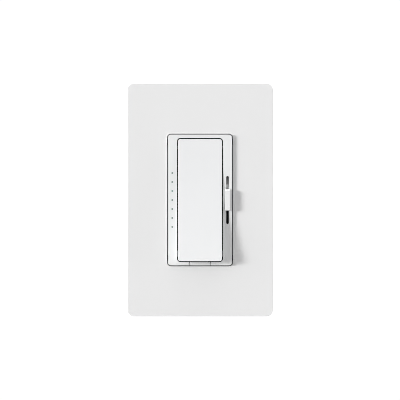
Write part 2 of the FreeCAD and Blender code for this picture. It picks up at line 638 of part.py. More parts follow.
def paddle():
    """A hollow key, hinged near its top.  Its face is slightly hollow and leans out to the foot."""
    body = new_body("paddle")
    half = d.window_tall / 2 - d.paddle_gap
    width = d.window_w - 2 * d.paddle_gap
    wall = d.paddle_wall
    profile = new_sketch(body, SIDE)
    polygon(profile, [
        (-d.paddle_foot_front, -half), (-d.paddle_top_front, half),
        (-d.paddle_skirt_top, half), (-d.paddle_skirt_foot, -half)], d.paddle_face_r)
    pad(body, profile, width, midplane=True)
    soften(body, corner_edge(width), d.paddle_corner)
    soften(body, face_rim(half), d.paddle_edge)
    hollow = new_sketch(body, SIDE)
    inner = half - wall
    polygon(hollow, [
        (d.paddle_face_wall - d.paddle_top_front, inner),
        (d.paddle_face_wall - d.paddle_foot_front, -inner),
        (PAST, -inner), (PAST, inner)])
    pocket(body, hollow, width - 2 * wall, midplane=True)
    pin = new_sketch(body, SIDE)
    circle(pin, -d.hinge_front, d.hinge_at, d.hinge_pin_r + d.hinge_gap)
    pocket(body, pin, width + 2 * PAST, midplane=True)
    # post that works the tact switch, and the seat of the return spring
    post = new_sketch(body, FRONT, d.tact_front + d.tact_post_gap)
    rounded_rect(post, 0, d.tact_at, d.tact_post_w, d.tact_post_w, CRISP)
    pad(body, post, d.tact_post_long)
    seat = new_sketch(body, FRONT, d.seat_back)
    circle(seat, 0, -d.spring_at, d.seat_r)
    pad(body, seat, d.seat_long)
    # stops that catch behind the bezel's face
    stop_back = d.bezel_front - d.bezel_face - d.stop_gap - d.stop_thick
    for side in SIDES:
        arm = new_sketch(body, FRONT, stop_back)
        rounded_rect(arm, side * (width - d.stop_arm_w) / 2, -d.stop_at, d.stop_arm_w,
                     d.stop_tall, CRISP)
        pad(body, arm, d.stop_arm_long)
        stop = new_sketch(body, FRONT, stop_back)
        rounded_rect(stop, side * (width + d.stop_out) / 2 - side * SINK, -d.stop_at,
                     d.stop_out + 2 * SINK, d.stop_tall, CRISP)
        pad(body, stop, d.stop_thick)
    return body


def corner_edge(width):
    """Tests for the paddle's four corner edges, which run from front to back."""
    def test(point, along):
        return abs(abs(point.x) - number(width) / 2) < NEAR and abs(along.y) > MOSTLY
    return test


def face_rim(half):
    """Tests for the edges round the paddle's face, which are the furthest into the room."""
    def test(point, along):
        share = (number(half) - point.z) / (2 * number(half))
        top, foot = DIMENSIONS["paddle_top_front"], DIMENSIONS["paddle_foot_front"]
        face = top + share * (foot - top)
        return -point.y > face - DIMENSIONS["paddle_rim_deep"] and abs(along.y) < MOSTLY
    return test


def paddle_hinge_pin():
    return named(rod("X", (-d.hinge_pin_long / 2, -d.hinge_front, d.hinge_at), d.hinge_pin_long,
                     d.hinge_pin_r), "paddle_hinge_pin")


def paddle_return_spring():
    """A coil between the control board and the inside of the paddle."""
    body = new_body("paddle_return_spring")
    wire = new_sketch(body, TOP, -d.spring_at)
    circle(wire, d.spring_r, -d.spring_front, d.spring_wire_r)
    coil = body.newObject("PartDesign::AdditiveHelix", "Helix")
    coil.Profile = wire
    coil.ReferenceAxis = (wire, ["V_Axis"])
    coil.Mode = "pitch-height-angle"
    bind(coil, "Pitch", d.spring_pitch)
    bind(coil, "Height", d.spring_front - d.spring_back)
    wire.Visibility = False
    doc.recompute()
    return body


# ---------------------------------------------------------------- control board

def control_board():
    board = box((-d.board_w / 2, d.board_w / 2), (-d.board_front, d.board_thick - d.board_front),
                (-d.board_foot, d.board_top))
    hole = box((-d.header_w / 2, d.header_w / 2),
               (-d.board_front - PAST, d.board_thick - d.board_front + PAST),
               (-d.header_at - d.header_thick / 2, -d.header_at + d.header_thick / 2))
    return cut(board, [hole], "control_board")


def dot_heights():
    count = DIMENSIONS["dot_count"]
    return [(k - count // 2) * d.dot_pitch for k in range(count)]


def indicator_leds():
    leds = []
    for z in dot_heights():
        leds.append(box((-d.dot_x - d.led_w / 2, -d.dot_x + d.led_w / 2),
                        (-d.board_front - d.led_thick, -d.board_front),
                        (z - d.led_long / 2, z + d.led_long / 2)))
    return group(leds, "indicator_leds")


def level_light_pipe():
    """A clear comb, with a foot over each lamp and a pin in each hole of the bezel."""
    half = (d.dot_count - 1) * d.dot_pitch / 2 + d.pipe_over
    bar_back = d.pipe_front - d.pipe_thick
    foot_back = d.board_front + d.led_thick + d.pipe_led_gap
    pin_front = d.bezel_front - d.pipe_recess
    parts = [box((-d.pipe_x - d.pipe_w / 2, -d.pipe_x + d.pipe_w / 2),
                 (-d.pipe_front, -bar_back), (-half, half))]
    for z in dot_heights():
        parts.append(rod("Y", (-d.dot_x, -pin_front, z), pin_front - d.pipe_front + SINK, d.dot_r))
        parts.append(rod("Y", (-d.dot_x, -bar_back - SINK, z), bar_back + SINK - foot_back,
                         d.pipe_foot_r))
    return fuse(parts, "level_light_pipe")


def tact_switch_body():
    half = d.tact_w / 2
    front = -d.board_front - d.tact_thick
    block = box((-half, half), (front, -d.board_front), (d.tact_at - half, d.tact_at + half))
    well = rod("Y", (0, front - PAST, d.tact_at), d.tact_well + PAST, d.tact_plunger_r + d.tact_gap)
    return cut(block, [well], "tact_switch_body")


def tact_plunger():
    return named(rod("Y", (0, -d.tact_front, d.tact_at), d.tact_long, d.tact_plunger_r),
                 "tact_plunger")


def control_chips():
    """The controller and the radio module."""
    chips = []
    for x, z, width, tall, thick in (
            (d.chip_x, d.chip_z, d.chip_w, d.chip_tall, d.chip_thick),
            (d.radio_x, d.radio_z, d.radio_w, d.radio_tall, d.radio_thick)):
        chips.append(box((x - width / 2, x + width / 2), (-d.board_front - thick, -d.board_front),
                         (z - tall / 2, z + tall / 2)))
    return group(chips, "control_chips")


def board_header():
    """The plug that joins the control board to the power board through the yoke."""
    half = d.header_thick / 2 - d.header_fit
    return named(box((-d.header_w / 2 + d.header_fit, d.header_w / 2 - d.header_fit),
                     (-d.board_front, d.power_deep), (-d.header_at - half, -d.header_at + half)),
                 "board_header")


# ---------------------------------------------------------------- fader

def fader_track():
    return named(box((d.track_x - d.track_w / 2, d.track_x + d.track_w / 2),
                     (-d.board_front - d.track_thick, -d.board_front),
                     (-d.track_long / 2, d.track_long / 2)), "fader_track")


def fader_carriage():
    block = box((d.carriage_x - d.carriage_w / 2, d.carriage_x + d.carriage_w / 2),
                (-d.carriage_front, -d.carriage_back), (-d.carriage_long / 2, d.carriage_long / 2))
    half_w, half_long = d.stem_w / 2 + d.stem_gap, d.stem_long / 2 + d.stem_gap
    socket = box((d.fader_x - half_w, d.fader_x + half_w),
                 (-d.carriage_front - PAST, d.stem_gap - d.stem_back), (-half_long, half_long))
    return cut(block, [socket], "fader_carriage")


def fader_knob():
    """A grip in front of the bezel, sloped at its top, on a stem that passes through the slot."""
    body = new_body("fader_knob")
    half = d.knob_long / 2
    grip = new_sketch(body, SIDE, d.fader_x)
    polygon(grip, [
        (-d.knob_front, half - d.knob_top_slope), (-d.knob_front, d.knob_foot_slope - half),
        (-d.knob_back, -half), (-d.knob_back, half)])
    pad(body, grip, d.knob_w, midplane=True)
    back = -DIMENSIONS["knob_back"]

    def at_foot_corner(point, along):
        return point.z < 0 and abs(along.y) > MOSTLY

    soften(body, at_foot_corner, d.knob_foot_corner)
    soften(body, lambda point, along: point.y < back - NEAR and not at_foot_corner(point, along),
           d.knob_edge)
    stem = new_sketch(body, FRONT, d.stem_back)
    rounded_rect(stem, d.fader_x, 0, d.stem_w, d.stem_long, CRISP)
    pad(body, stem, d.knob_back - d.stem_back + SINK)
    return body


def fader_shutter():
    """A strip on the carriage that closes the slot behind the bezel, above the knob."""
    return named(box((d.fader_x - d.shutter_w / 2, d.fader_x + d.shutter_w / 2),
                     (-d.shutter_back - d.shutter_thick, -d.shutter_back),
                     (d.shutter_foot, d.shutter_top)), "fader_shutter")


def fader_wiper():
    """A sprung leaf under the carriage, with two dimples that touch the track."""
    back = d.carriage_back - d.wiper_gap
    leaf = box((d.wiper_x - d.wiper_w / 2, d.wiper_x + d.wiper_w / 2),
               (-back, d.wiper_thick - back), (-d.wiper_long / 2, d.wiper_long / 2))
    track_front = d.board_front + d.track_thick
    dimples = []
    for sign in SIDES:
        dimples.append(rod("Y", (d.wiper_x, SINK - back, sign * d.wiper_dot_at),
                           back - SINK - track_front - d.wiper_gap, d.wiper_dot_r))
    return fuse([leaf] + dimples, "fader_wiper")


# ---------------------------------------------------------------- service switch

def service_tab():
    """A pull tab in the foot of the bezel, with a stem that carries the switch blade."""
    body = new_body("service_tab")
    top, foot = d.window_tall / 2, d.bezel_tall / 2
    pull_top = d.pull_at - d.pull_tall / 2
    face = new_sketch(body, FRONT, d.tab_back)
    rounded_rect(face, 0, -(top + foot) / 2, d.tab_w, foot - top, CRISP)
    pad(body, face, d.bezel_front - d.tab_back)
    step = new_sketch(body, FRONT, d.tab_back)
    rounded_rect(step, 0, -(top + SINK + pull_top) / 2, d.step_w, top + SINK - pull_top, CRISP)
    pad(body, step, d.step_thick)
    stem = new_sketch(body, FRONT, -d.pull_deep)
    rounded_rect(stem, 0, -d.pull_at, d.pull_w, d.pull_tall, CRISP)
    pad(body, stem, d.pull_deep + d.tab_back + SINK)
    catch = new_sketch(body, TOP, -d.pull_at)
    edge = -d.pull_w / 2
    rectangle(catch, edge + (d.catch_long - PAST) / 2, d.blade_deep, d.catch_long + PAST, d.catch_w)
    pocket(body, catch, d.pull_tall + 2 * PAST, midplane=True)
    return body


def air_gap_blade():
    """A sprung copper strip with a curl round its post and a silver button."""
    low, high = -d.pull_at - d.blade_tall / 2, -d.pull_at + d.blade_tall / 2
    strip = box((-d.pivot_x + d.pivot_r + SINK, -d.blade_end),
                (d.blade_deep - d.blade_thick / 2, d.blade_deep + d.blade_thick / 2), (low, high))
    curl = rod("Z", (-d.pivot_x, d.blade_deep, low), d.blade_tall, d.curl_r)
    bore = rod("Z", (-d.pivot_x, d.blade_deep, low - PAST), d.blade_tall + 2 * PAST,
               d.pivot_r + d.curl_gap)
    button = rod("Y", (-d.contact_x, d.blade_deep, -d.pull_at),
                 d.blade_thick / 2 + d.contact_thick, d.contact_r)
    return cut(fuse([strip, curl, button]), [bore], "air_gap_blade")


def air_gap_post():
    low = -d.pull_at - d.blade_tall / 2 - d.post_over
    high = -d.pull_at + d.blade_tall / 2 + d.post_over
    left = -d.pivot_x - d.post_arm_w / 2
    post = rod("Z", (-d.pivot_x, d.blade_deep, low), high - low + SINK, d.pivot_r)
    arm = box((left, left + d.post_arm_w), (d.blade_deep - d.post_arm_w / 2, d.power_deep),
              (high, high + d.post_arm_thick))
    foot = box((left, left + d.post_foot_w), (d.power_deep - d.post_foot_thick, d.power_deep),
               (high, high + d.post_foot_tall))
    return fuse([post, arm, foot], "air_gap_post")


def air_gap_contact():
    """The fixed silver button, on a bridge that stands on the power board."""
    front = d.blade_deep + d.blade_thick / 2 + d.contact_thick + d.contact_gap
    back = front + d.contact_thick
    x = (-d.contact_x - d.bridge_w / 2, -d.contact_x + d.bridge_w / 2)
    top = -d.pull_at + d.bridge_reach
    button = rod("Y", (-d.contact_x, front, -d.pull_at), d.contact_thick + SINK, d.contact_r)
    bridge = box(x, (back, back + d.bridge_thick), (-d.pull_at - d.bridge_drop, top))
    foot = box(x, (back, d.power_deep), (top - d.bridge_foot, top))
    return fuse([button, bridge, foot], "air_gap_contact")


# ---------------------------------------------------------------- back housing

# where each wiring terminal is: its side in X, and its height's sign
TERMINALS = {"line": (1, 1), "load": (-1, 1), "traveler": (-1, -1)}


def back_housing():
    body = new_body("back_housing")
    deep = d.case_deep - d.case_front
    outer = new_sketch(body, FRONT, -d.case_front)
    rounded_rect(outer, 0, 0, d.case_w, d.case_tall, d.case_corner)
    pad(body, outer, deep, backwards=True)
    soften(body, at_front(-d.case_deep), d.case_edge)
    hollow = new_sketch(body, FRONT, -d.case_front)
    rounded_rect(hollow, 0, 0, d.case_w - 2 * d.case_wall, d.case_tall - 2 * d.case_wall,
                 d.case_corner - d.case_wall)
    pocket(body, hollow, deep - d.case_wall)
    for x, z in corners():
        boss = new_sketch(body, FRONT, d.case_wall - SINK - d.case_deep)
        circle(boss, x, z, d.boss_r)
        pad(body, boss, deep - d.case_wall + SINK)
    for side, sign in TERMINALS.values():
        terminal_recess(body, side, sign * d.terminal_at, sign * d.tail_at)
    shanks = new_sketch(body, FRONT, -d.case_front)
    heads = new_sketch(body, FRONT, -d.case_deep)
    for x, z in corners():
        circle(shanks, x, z, d.case_screw_r + d.screw_gap)
        circle(heads, x, z, d.case_screw_head_r + d.screw_gap)
    pocket(body, shanks)
    pocket(body, heads, d.case_screw_head_thick + d.case_screw_sunk, backwards=True)
    panel = new_sketch(body, FRONT, -d.case_deep)
    rounded_rect(panel, 0, 0, d.panel_w, d.panel_tall, d.panel_corner)
    pocket(body, panel, d.panel_deep, backwards=True)
    return body


def corners():
    """Where the four case screws are."""
    return [(side * d.boss_x, sign * d.boss_z) for side in SIDES for sign in SIDES]


def terminal_recess(body, side, z, tail_z):
    """A recess in the housing's side for one terminal, with walls of its own."""
    outer_x = d.case_w / 2
    depth = d.recess_inset + d.recess_floor
    floor = d.recess_floor
    walls = new_sketch(body, TOP, z)
    side_box(walls, side, outer_x - depth, outer_x - d.case_wall / 2, d.recess_w + 2 * floor)
    pad(body, walls, d.recess_tall + 2 * floor, midplane=True)
    space = new_sketch(body, TOP, z)
    side_box(space, side, outer_x - d.recess_inset, outer_x + PAST, d.recess_w)
    pocket(body, space, d.recess_tall, midplane=True)
    ways = new_sketch(body, SIDE, side * (outer_x - depth - PAST))
    circle(ways, d.recess_deep, z, d.terminal_thread_r + d.shank_room)
    rounded_rect(ways, d.power_deep + d.power_thick + d.tail_thick / 2, z + tail_z,
                 d.tail_thick + 2 * d.tail_room, d.tail_tall + 2 * d.tail_room, CRISP)
    pocket(body, ways, floor + 2 * PAST, backwards=side > 0)


def side_box(sketch, side, near, far, width):
    """A rectangle in a level sketch, from near to far on one side, centred on the recess."""
    rectangle(sketch, side * (near + far) / 2, d.recess_deep, far - near, width)


# ---------------------------------------------------------------- wiring terminals

def mirror(side, near, far):
    """A (low, high) pair of X for a stretch on the right, or for the same stretch on the left."""
    return (near, far) if side > 0 else (-far, -near)


def wiring_terminal(name):
    """A brass plate on the recess floor, tapped for its screw, with a tail to the power board."""
    side, sign = TERMINALS[name]
    inner = d.case_w / 2 - d.recess_inset
    z = sign * d.terminal_at
    tail_z = z + sign * d.tail_at
    half_tall = d.recess_tall / 2 - d.terminal_gap
    half_w = d.recess_w / 2 - d.terminal_gap
    tail_front = d.power_deep + d.power_thick
    plate = box(mirror(side, inner, inner + d.terminal_thick),
                (d.recess_deep - half_w, d.recess_deep + half_w), (z - half_tall, z + half_tall))
    tail = box(mirror(side, d.tail_x, inner + SINK), (tail_front, tail_front + d.tail_thick),
               (tail_z - d.tail_tall / 2, tail_z + d.tail_tall / 2))
    tap_x = mirror(side, inner - PAST, inner + d.terminal_thick + PAST)
    tap = rod("X", (tap_x[0], d.recess_deep, z), d.terminal_thick + 2 * PAST,
              d.terminal_thread_r + d.thread_gap)
    return cut(fuse([plate, tail]), [tap], name + "_terminal")


def terminal_screw(name):
    side, sign = TERMINALS[name]
    seat = d.case_w / 2 - d.recess_inset + d.terminal_thick + d.wire_gap
    face = seat + d.terminal_head_thick
    z = sign * d.terminal_at
    head = rod("X", (mirror(side, seat, face)[0], d.recess_deep, z), d.terminal_head_thick,
               d.terminal_head_r)
    shank = rod("X", (mirror(side, seat - d.terminal_shank, seat)[0], d.recess_deep, z),
                d.terminal_shank, d.terminal_thread_r)
    groove = box(mirror(side, face - d.drive_slot_deep, face + PAST),
                 (d.recess_deep - d.drive_slot_w / 2, d.recess_deep + d.drive_slot_w / 2),
                 (z - d.terminal_head_r - PAST, z + d.terminal_head_r + PAST))
    return cut(fuse([head, shank]), [groove], name + "_screw")


# ---------------------------------------------------------------- screws

def room_screw(pieces, z, front, head_r):
    """A screw on the middle line, whose slotted head faces the room."""
    reach = head_r + PAST
    groove = box((-reach, reach), (front - PAST, front + d.drive_slot_deep),
                 (z - d.drive_slot_w / 2, z + d.drive_slot_w / 2))
    return cut(fuse(pieces), [groove])


def box_screws():
    """The two screws that hold the yoke to the wall box.  Their necks are thinner than the thread."""
    screws = []
    seat = -d.yoke_thick
    for sign in SIDES:
        z = sign * d.box_spacing / 2
        front = seat - d.box_head_thick
        head = rod("Y", (0, front, z), d.box_head_thick, d.box_head_r)
        neck = rod("Y", (0, seat - SINK, z), d.yoke_thick + 2 * SINK, d.neck_r)
        thread = rod("Y", (0, 0, z), d.box_screw_long, d.thread_r)
        screws.append(room_screw([head, neck, thread], z, front, d.box_head_r))
    return group(screws, "box_screws")


def adapter_screws():
    screws = []
    front = -d.yoke_thick - d.adapter_web
    for sign in SIDES:
        z = sign * d.cover_spacing / 2
        head = taper("Y", (0, front, z), d.cover_head_thick, d.cover_head_r - SINK, d.thread_r)
        shank = rod("Y", (0, front + SINK, z), d.cover_screw_long, d.thread_r)
        screws.append(room_screw([head, shank], z, front, d.cover_head_r))
    return group(screws, "adapter_screws")


def case_screws():
    """Four screws with crossed slots, from the back of the housing into the yoke."""
    screws = []
    face = d.case_deep - d.case_screw_sunk
    seat = face - d.case_screw_head_thick
    groove_y = (face - d.drive_slot_deep, face + PAST)
    for x, z in corners():
        head = rod("Y", (x, seat, z), d.case_screw_head_thick, d.case_screw_head_r)
        shank = rod("Y", (x, SINK - d.yoke_thick, z), seat + d.yoke_thick, d.case_screw_r)
        across = box((x - d.cross_long / 2, x + d.cross_long / 2), groove_y,
                     (z - d.cross_w / 2, z + d.cross_w / 2))
        upright = box((x - d.cross_w / 2, x + d.cross_w / 2), groove_y,
                      (z - d.cross_long / 2, z + d.cross_long / 2))
        screws.append(cut(fuse([head, shank]), [across, upright]))
    return group(screws, "case_screws")


def ground_screw():
    """A hexagon head screw, from below into the yoke's tab."""
    x, y = -d.ground_x, d.ground_deep
    seat = -d.ground_tab_drop - d.ground_tab_thick
    low = seat - d.ground_head_thick
    head = doc.addObject("Part::Prism", "Hexagon")
    head.Polygon = 6
    bind(head, "Circumradius", d.ground_head_r)
    bind(head, "Height", d.ground_head_thick)
    place(head, x, y, low)
    shank = rod("Z", (x, y, seat - SINK), d.ground_shank_long, d.thread_r)
    groove = box((x - d.ground_head_r - PAST, x + d.ground_head_r + PAST),
                 (y - d.drive_slot_w / 2, y + d.drive_slot_w / 2),
                 (low - PAST, low + d.drive_slot_deep))
    return cut(fuse([head, shank]), [groove], "ground_screw")


# ---------------------------------------------------------------- power board

def power_board():
    return named(box((-d.power_w / 2, d.power_w / 2), (d.power_deep, power_back()),
                     (-d.power_tall / 2, d.power_tall / 2)), "power_board")


def power_back():
    return d.power_deep + d.power_thick


def insulator_sheet():
    return named(box((-d.insulator_w / 2, d.insulator_w / 2),
                     (d.film_gap, d.film_gap + d.insulator_thick),
                     (d.insulator_z - d.insulator_tall / 2, d.insulator_z + d.insulator_tall / 2)),
                 "insulator_sheet")


def power_transistors():
    """Two flat packages against the insulator, each with three legs bent into the power board."""
    transistors = []
    front = 2 * d.film_gap + d.insulator_thick
    leg_y = front + d.fet_thick / 2
    low = d.fet_z - d.fet_tall / 2
    foot = low - d.leg_long
    for side in SIDES:
        x = side * d.fet_x
        pieces = [box((x - d.fet_w / 2, x + d.fet_w / 2), (front, front + d.fet_thick),
                      (low, low + d.fet_tall))]
        for k in (-1, 0, 1):
            leg_x = (x + k * d.leg_pitch - d.leg_w / 2, x + k * d.leg_pitch + d.leg_w / 2)
            pieces.append(box(leg_x, (leg_y - d.leg_w / 2, leg_y + d.leg_w / 2), (foot, low + SINK)))
            pieces.append(box(leg_x, (leg_y, d.power_deep), (foot, foot + d.leg_w)))
        transistors.append(fuse(pieces))
    return group(transistors, "power_transistors")


def choke_middle():
    """How deep the middle of the choke's ring is."""
    return power_back() + d.choke_stand + d.choke_tube_r + 2 * d.wire_r


def choke_core():
    core = doc.addObject("Part::Torus", "Ring")
    bind(core, "Radius1", d.choke_r)
    bind(core, "Radius2", d.choke_tube_r)
    place(core, 0, choke_middle(), d.choke_z, ALONG["Y"])
    return named(core, "choke_core")


def choke_winding():
    """Rings of wire round the core, evenly spaced."""
    centre = Vector(0, number(choke_middle()), DIMENSIONS["choke_z"])
    ring_r = number(d.choke_tube_r + d.wire_r + d.wire_clear)
    rings = []
    for k in range(DIMENSIONS["choke_turns"]):
        angle = 2 * math.pi * k / DIMENSIONS["choke_turns"]
        out = Vector(math.cos(angle), 0, math.sin(angle))
        along = Vector(-out.z, 0, out.x)
        rings.append(Part.makeTorus(ring_r, DIMENSIONS["wire_r"],
                                    centre + out * DIMENSIONS["choke_r"], along))
    return solid(Part.makeCompound(rings), "choke_winding")


def film_capacitor():
    back = power_back()
    return named(box((-d.box_cap_w / 2, d.box_cap_w / 2), (back, back + d.box_cap_deep),
                     (d.box_cap_z - d.box_cap_tall / 2, d.box_cap_z + d.box_cap_tall / 2)),
                 "film_capacitor")


def bulk_capacitor():
    return named(rod("Y", (d.can_x, power_back(), d.can_z), d.can_long, d.can_r), "bulk_capacitor")


def surge_disc():
    return named(rod("X", (d.disc_x - d.disc_thick / 2, power_back() + d.disc_r + d.disc_stand,
                           d.disc_z), d.disc_thick, d.disc_r), "surge_disc")


def fuse_link():
    return named(rod("X", (d.link_x - d.link_long / 2, power_back() + d.link_r + d.link_stand,
                           d.link_z), d.link_long, d.link_r), "fuse_link")


# ---------------------------------------------------------------- everything

def build():
    fill_sheet()
    makers = [
        cover_plate, cover_adapter, mounting_yoke, front_bezel, paddle, paddle_hinge_pin,
        paddle_return_spring, control_board, indicator_leds, level_light_pipe, tact_switch_body,
        tact_plunger, control_chips, board_header, fader_track, fader_carriage, fader_knob,
        fader_wiper, fader_shutter, service_tab, air_gap_blade, air_gap_post, air_gap_contact,
        back_housing, box_screws, adapter_screws, case_screws, ground_screw, power_board, insulator_sheet,
        power_transistors, choke_core, choke_winding, film_capacitor, bulk_capacitor, surge_disc,
        fuse_link,
    ]
    parts = [make() for make in makers]
    for name in TERMINALS:
        parts += [wiring_terminal(name), terminal_screw(name)]
    doc.recompute()
    return parts


def check(parts):
    for thing in doc.Objects:
        if "Invalid" in thing.State or "Error" in thing.State:
            raise RuntimeError(f"{thing.Label} failed: {thing.State}")
    for part in parts:
        if part.Shape.isNull() or not part.Shape.isValid() or not part.Shape.Solids:
            raise RuntimeError(f"{part.Label} has no valid solid")
    labels = [part.Label for part in parts]
    if len(set(labels)) != len(labels):
        raise RuntimeError(f"two parts share a label: {sorted(labels)}")


def export(parts):
    os.makedirs("parts", exist_ok=True)
    for part in parts:
        part.Shape.exportStep(os.path.join("parts", part.Label + ".step"))
        print(part.Label, len(part.Shape.Solids), "solid(s)", round(part.Shape.Volume, 1), "mm3")


PARTS = build()
check(PARTS)
export(PARTS)
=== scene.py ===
"""Looks of the wall dimmer: materials, detail pieces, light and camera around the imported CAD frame.

Blender's lengths are metres in the frame of the CAD: +Z up, the room at -Y, the wall box at +Y.
Sizes written in millimetres are multiplied by MM.
"""
import math

import bmesh
import bpy
from mathutils import Matrix, Vector


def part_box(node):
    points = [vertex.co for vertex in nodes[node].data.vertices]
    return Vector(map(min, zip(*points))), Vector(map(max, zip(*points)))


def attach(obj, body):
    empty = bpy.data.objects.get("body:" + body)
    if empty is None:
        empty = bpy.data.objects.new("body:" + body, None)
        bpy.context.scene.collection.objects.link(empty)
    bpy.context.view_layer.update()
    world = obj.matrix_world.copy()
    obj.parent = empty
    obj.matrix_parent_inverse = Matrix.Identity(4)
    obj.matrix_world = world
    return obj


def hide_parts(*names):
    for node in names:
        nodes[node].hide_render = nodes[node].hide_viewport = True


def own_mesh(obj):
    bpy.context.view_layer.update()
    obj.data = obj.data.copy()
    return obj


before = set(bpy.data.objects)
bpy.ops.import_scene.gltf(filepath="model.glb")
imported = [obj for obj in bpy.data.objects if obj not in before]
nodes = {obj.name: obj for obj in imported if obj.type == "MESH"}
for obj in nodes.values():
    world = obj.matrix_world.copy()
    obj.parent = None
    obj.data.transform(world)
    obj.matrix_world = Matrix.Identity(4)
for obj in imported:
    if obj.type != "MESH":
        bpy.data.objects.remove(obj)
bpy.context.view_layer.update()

MM = 0.001
WHITE = (1.0, 1.0, 1.0)
MIX_A, MIX_B, MIX_RESULT = 6, 7, 2       # the colour sockets of a Mix node
scene = bpy.context.scene


# ---------------------------------------------------------------- node helpers

def give(tree, node, values):
    """Fills a node's inputs, each by name or number: a socket is linked, the rest are set."""
    for key, value in values.items():
        socket = node.inputs[key.replace("_", " ") if isinstance(key, str) else key]
        if isinstance(value, bpy.types.NodeSocket):
            tree.links.new(value, socket)
        elif socket.type == "RGBA":
            socket.default_value = (*value, 1.0)
        else:
            socket.default_value = value


def put(tree, kind, **values):
    """Adds a node and fills its inputs by name, with _ for a space."""
    node = tree.nodes.new("ShaderNode" + kind)
    give(tree, node, values)
    return node


def new_material(name):
    """A material with one Principled shader: (material, node tree, shader)."""
    material = bpy.data.materials.new(name)
    material.use_nodes = True
    tree = material.node_tree
    tree.nodes.clear()
    shader = put(tree, "BsdfPrincipled")
    put(tree, "OutputMaterial", Surface=shader.outputs["BSDF"])
    return material, tree, shader


def places(tree, stretch=(1, 1, 1)):
    """Object coordinates, stretched along each axis."""
    source = put(tree, "TexCoord").outputs["Object"]
    return put(tree, "Mapping", Vector=source, Scale=stretch).outputs["Vector"]


def coordinate(tree, axis):
    """One of the object coordinates, in metres."""
    source = put(tree, "TexCoord").outputs["Object"]
    return put(tree, "SeparateXYZ", Vector=source).outputs[axis]


def noise(tree, vector, grain, detail=3.0, rough=0.55):
    """Noise with features about grain millimetres across."""
    return put(tree, "TexNoise", Vector=vector, Scale=1 / (grain * MM), Detail=detail,
               Roughness=rough).outputs["Fac"]


def cells(tree, vector, grain, feature="F1"):
    """Distance from the middles, or the edges, of cells about grain millimetres across."""
    node = put(tree, "TexVoronoi", Scale=1 / (grain * MM))
    node.feature = feature
    give(tree, node, {"Vector": vector})
    return node.outputs["Distance"]


def ramp(tree, field, stops):
    """Colours laid over a field, as (place, colour) stops."""
    node = put(tree, "ValToRGB", Fac=field)
    elements = node.color_ramp.elements
    while len(elements) < len(stops):
        elements.new(1.0)
    for element, (place, colour) in zip(elements, stops):
        element.position = place
        element.color = (*colour, 1.0)
    return node.outputs["Color"]


def two_tone(tree, field, low, high, start=0.3, end=0.7):
    """One colour where a field is low and another where it is high."""
    return ramp(tree, field, [(start, low), (end, high)])


def span(tree, field, low, high, start=0.25, end=0.75):
    """A field's range from start to end, moved to the range low to high."""
    return put(tree, "MapRange", Value=field, From_Min=start, From_Max=end, To_Min=low,
               To_Max=high).outputs["Result"]


def calc(tree, operation, a, b=0.0):
    """A math node on one or two values, each a socket or a number."""
    node = put(tree, "Math")
    node.operation = operation
    give(tree, node, {0: a, 1: b})
    return node.outputs["Value"]


def blended(tree, share, a, b):
    """Colours a and b mixed by a share."""
    mix = put(tree, "Mix")
    mix.data_type = "RGBA"
    give(tree, mix, {"Factor": share, MIX_A: a, MIX_B: b})
    return mix.outputs[MIX_RESULT]


def relief(tree, shader, layers, strength=0.5, normal=None):
    """Bumps on the shader's normal, from (field, depth in millimetres) layers."""
    for field, depth in layers:
        bump = put(tree, "Bump", Height=field, Strength=strength, Distance=depth * MM)
        if normal is not None:
            give(tree, bump, {"Normal": normal})
        normal = bump.outputs["Normal"]
    give(tree, shader, {"Normal": normal})


def rounded(tree, radius, full=0.80, none=0.985):
    """(normal with its edges eased, how near an edge is: 0 to 1), for a radius in millimetres.

    full and none are how alike the eased and the true normal are right at an edge and off it.
    """
    eased = put(tree, "Bevel", Radius=radius * MM).outputs["Normal"]
    true = put(tree, "NewGeometry").outputs["True Normal"]
    alike = put(tree, "VectorMath")
    alike.operation = "DOT_PRODUCT"
    give(tree, alike, {0: eased, 1: true})
    return eased, span(tree, alike.outputs["Value"], 1.0, 0.0, full, none)


def times(colour, factor):
    """A colour made brighter or darker, no brighter than white."""
    return tuple(min(1.0, c * factor) for c in colour)


# ---------------------------------------------------------------- finishes

def moulded(name, colour, rough, spread, mottle, grain, depth):
    """Moulded plastic: faint flow mottling, gloss that varies a little, and a fine grain."""
    material, tree, shader = new_material(name)
    place = places(tree)
    tone = noise(tree, place, mottle, detail=4)
    gloss = noise(tree, place, mottle * 0.3, detail=5)
    give(tree, shader, {
        "Base Color": two_tone(tree, tone, times(colour, 1 - spread), times(colour, 1 + spread)),
        "Roughness": span(tree, gloss, rough * 0.85, rough * 1.15)})
    waves = noise(tree, place, grain * 12, detail=1)
    relief(tree, shader, [(waves, depth * 2), (noise(tree, place, grain, detail=2), depth)])
    return material


def spark_eroded(name, colour, rough):
    """Dark plastic from a spark-eroded mould: tiny pits, their rims polished by handling."""
    pit, deep, patch, edge_r = 0.22, 0.03, 7.0, 0.25     # millimetres
    material, tree, shader = new_material(name)
    place = places(tree)
    pits = cells(tree, place, pit)
    fine = noise(tree, place, pit * 0.6, detail=3)
    tone = noise(tree, place, patch, detail=5, rough=0.6)
    tones = two_tone(tree, tone, times(colour, 0.75), times(colour, 1.3))
    normal, edge = rounded(tree, edge_r)
    rubbed = calc(tree, "MULTIPLY", edge, span(tree, tone, 0.1, 0.6))
    give(tree, shader, {
        "Base Color": blended(tree, rubbed, tones, times(colour, 3.5)),
        "Roughness": span(tree, pits, rough * 0.8, rough * 1.2, 0.1, 0.7)})
    relief(tree, shader, [(pits, deep), (fine, deep * 0.5)], 0.6, normal)
    return material


